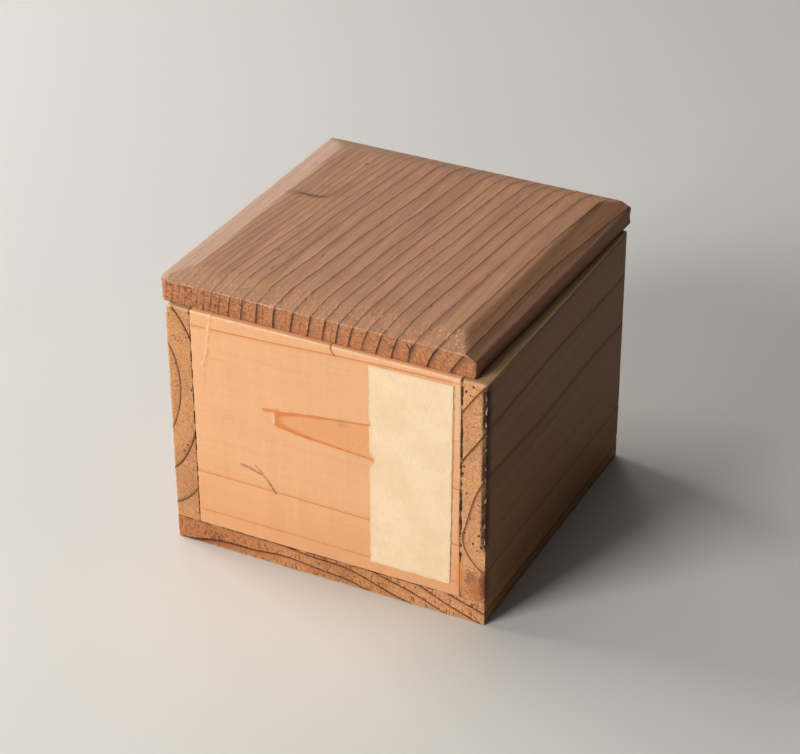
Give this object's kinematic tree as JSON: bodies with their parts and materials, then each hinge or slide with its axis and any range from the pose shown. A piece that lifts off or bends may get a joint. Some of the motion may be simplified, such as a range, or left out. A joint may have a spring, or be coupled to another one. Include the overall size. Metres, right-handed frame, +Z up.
{
  "type": "incense container storage box",
  "caption": "Small square wooden storage box for an incense container: pegged boards, a blank paper label, and a bevelled lid on battens that lifts off.",
  "frame": {"origin": "middle of the underside of the base board", "axes": "+Z up, +X to the right of the labelled front face, +Y from the front face to the back"},
  "size_m": [0.1033, 0.1032, 0.0883],
  "materials": {
    "base_wood": "bare aged softwood, satin",
    "wall_wood": "bare aged softwood, satin",
    "panel_wood": "planed bare softwood, satin",
    "lid_wood": "worn straight-grained softwood, satin",
    "batten_wood": "planed bare softwood, satin",
    "peg_wood": "dark hardwood, matt",
    "aged_paper": "aged cream paper, matt"
  },
  "bodies": {
    "box": {"base_board": "base_wood", "left_wall": "wall_wood", "right_wall": "wall_wood", "front_panel": "panel_wood", "back_panel": "panel_wood", "paper_label": "aged_paper", "left_front_corner_pegs": "peg_wood", "left_back_corner_pegs": "peg_wood", "right_front_corner_pegs": "peg_wood", "right_back_corner_pegs": "peg_wood", "left_base_pegs": "peg_wood", "right_base_pegs": "peg_wood", "front_base_pegs": "peg_wood", "back_base_pegs": "peg_wood"},
    "lid": {"lid_board": "lid_wood", "front_batten": "batten_wood", "back_batten": "batten_wood", "left_batten": "batten_wood", "right_batten": "batten_wood", "front_batten_pegs": "peg_wood", "back_batten_pegs": "peg_wood", "left_batten_pegs": "peg_wood", "right_batten_pegs": "peg_wood"}
  },
  "joints": [
    {"name": "lid_lift", "type": "slide", "parent": "box", "child": "lid", "axis": [0, 0, 1], "range_m": [0, 0.1]}
  ]
}
